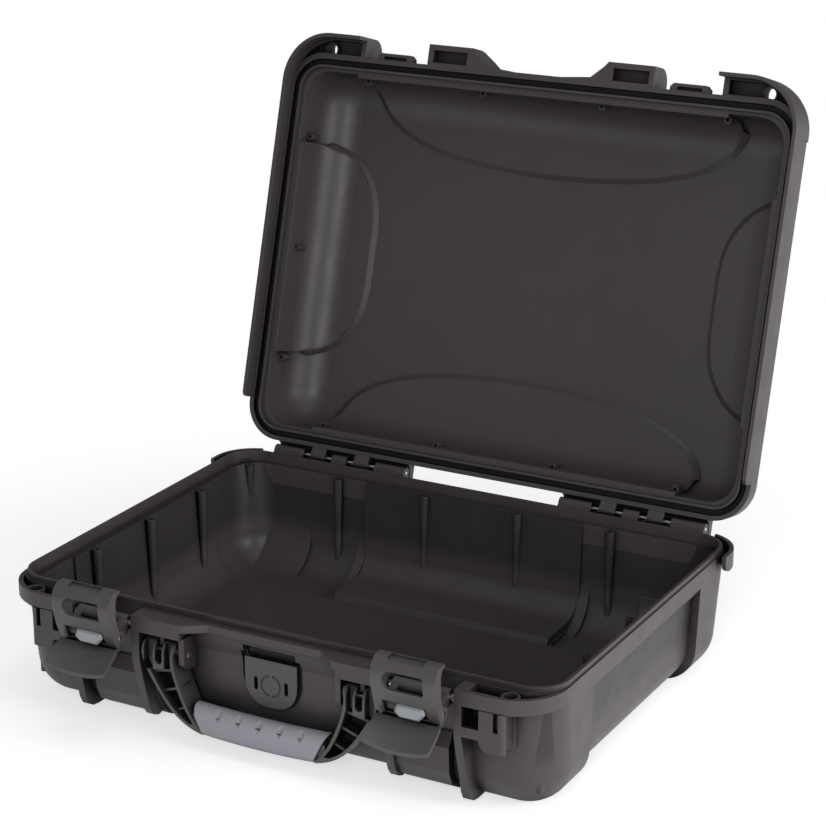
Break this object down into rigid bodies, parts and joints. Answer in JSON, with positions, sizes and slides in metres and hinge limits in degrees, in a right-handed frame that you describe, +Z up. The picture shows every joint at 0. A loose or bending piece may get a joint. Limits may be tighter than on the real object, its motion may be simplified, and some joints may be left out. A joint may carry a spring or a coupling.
{
  "type": "laptop hard case",
  "caption": "Hinged hard case for a laptop, lid open, with two lever latches that lock, a folding front handle and a pressure vent.",
  "frame": {"origin": "on the rest plane, under the middle of the base's sealing rib", "axes": "+X along the hinge, to the right when facing the latches; +Y towards the hinge; +Z up"},
  "size_m": [0.4606, 0.5179, 0.437],
  "materials": {
    "shell": "fine satin texture",
    "latch": "satin",
    "seal": "matt",
    "steel": "bright",
    "slide": "satin",
    "grip": "soft matt",
    "membrane": "matt"
  },
  "bodies": {
    "base": {"base_shell": "shell", "hinge_pin_left": "steel", "hinge_pin_right": "steel", "lever_pin_left": "steel", "lever_pin_right": "steel", "handle_pin_left": "steel", "handle_pin_right": "steel", "vent_cover": "latch", "vent_body": "latch", "vent_membrane": "membrane", "vent_gasket": "seal", "vent_nut": "latch"},
    "lid": {"lid_shell": "shell", "lid_gasket": "seal"},
    "handle": {"handle_frame": "latch", "handle_grip": "grip"},
    "lever_left": {"latch_lever_left": "latch", "claw_pin_left": "steel"},
    "claw_left": {"latch_claw_left": "latch"},
    "slide_left": {"slide_lock_left": "slide"},
    "lever_right": {"latch_lever_right": "latch", "claw_pin_right": "steel"},
    "claw_right": {"latch_claw_right": "latch"},
    "slide_right": {"slide_lock_right": "slide"}
  },
  "joints": [
    {"name": "lid_hinge", "type": "hinge", "parent": "base", "child": "lid", "pos_m": [0, 0.1705, 0.0962], "axis": [1, 0, 0], "range_deg": [0, 106.07]},
    {"name": "handle_hinge", "type": "hinge", "parent": "base", "child": "handle", "pos_m": [0, -0.166, 0.068], "axis": [-1, 0, 0], "range_deg": [0, 90]},
    {"name": "lever_left_hinge", "type": "hinge", "parent": "base", "child": "lever_left", "pos_m": [-0.1303, -0.172, 0.086], "axis": [1, 0, 0], "range_deg": [0, 40]},
    {"name": "claw_left_hinge", "type": "hinge", "parent": "lever_left", "child": "claw_left", "pos_m": [-0.1303, -0.188, 0.0805], "axis": [1, 0, 0], "range_deg": [-62.8, 0]},
    {"name": "slide_left_travel", "type": "slide", "parent": "lever_left", "child": "slide_left", "axis": [1, 0, 0], "range_m": [-0.008, 0]},
    {"name": "lever_right_hinge", "type": "hinge", "parent": "base", "child": "lever_right", "pos_m": [0.1303, -0.172, 0.086], "axis": [1, 0, 0], "range_deg": [0, 40]},
    {"name": "claw_right_hinge", "type": "hinge", "parent": "lever_right", "child": "claw_right", "pos_m": [0.1303, -0.188, 0.0805], "axis": [1, 0, 0], "range_deg": [-62.8, 0]},
    {"name": "slide_right_travel", "type": "slide", "parent": "lever_right", "child": "slide_right", "axis": [1, 0, 0], "range_m": [-0.008, 0]}
  ],
  "couplings": [
    {"joint": "claw_left_hinge", "follows": "lever_left_hinge", "ratio": -1.57},
    {"joint": "claw_right_hinge", "follows": "lever_right_hinge", "ratio": -1.57}
  ]
}
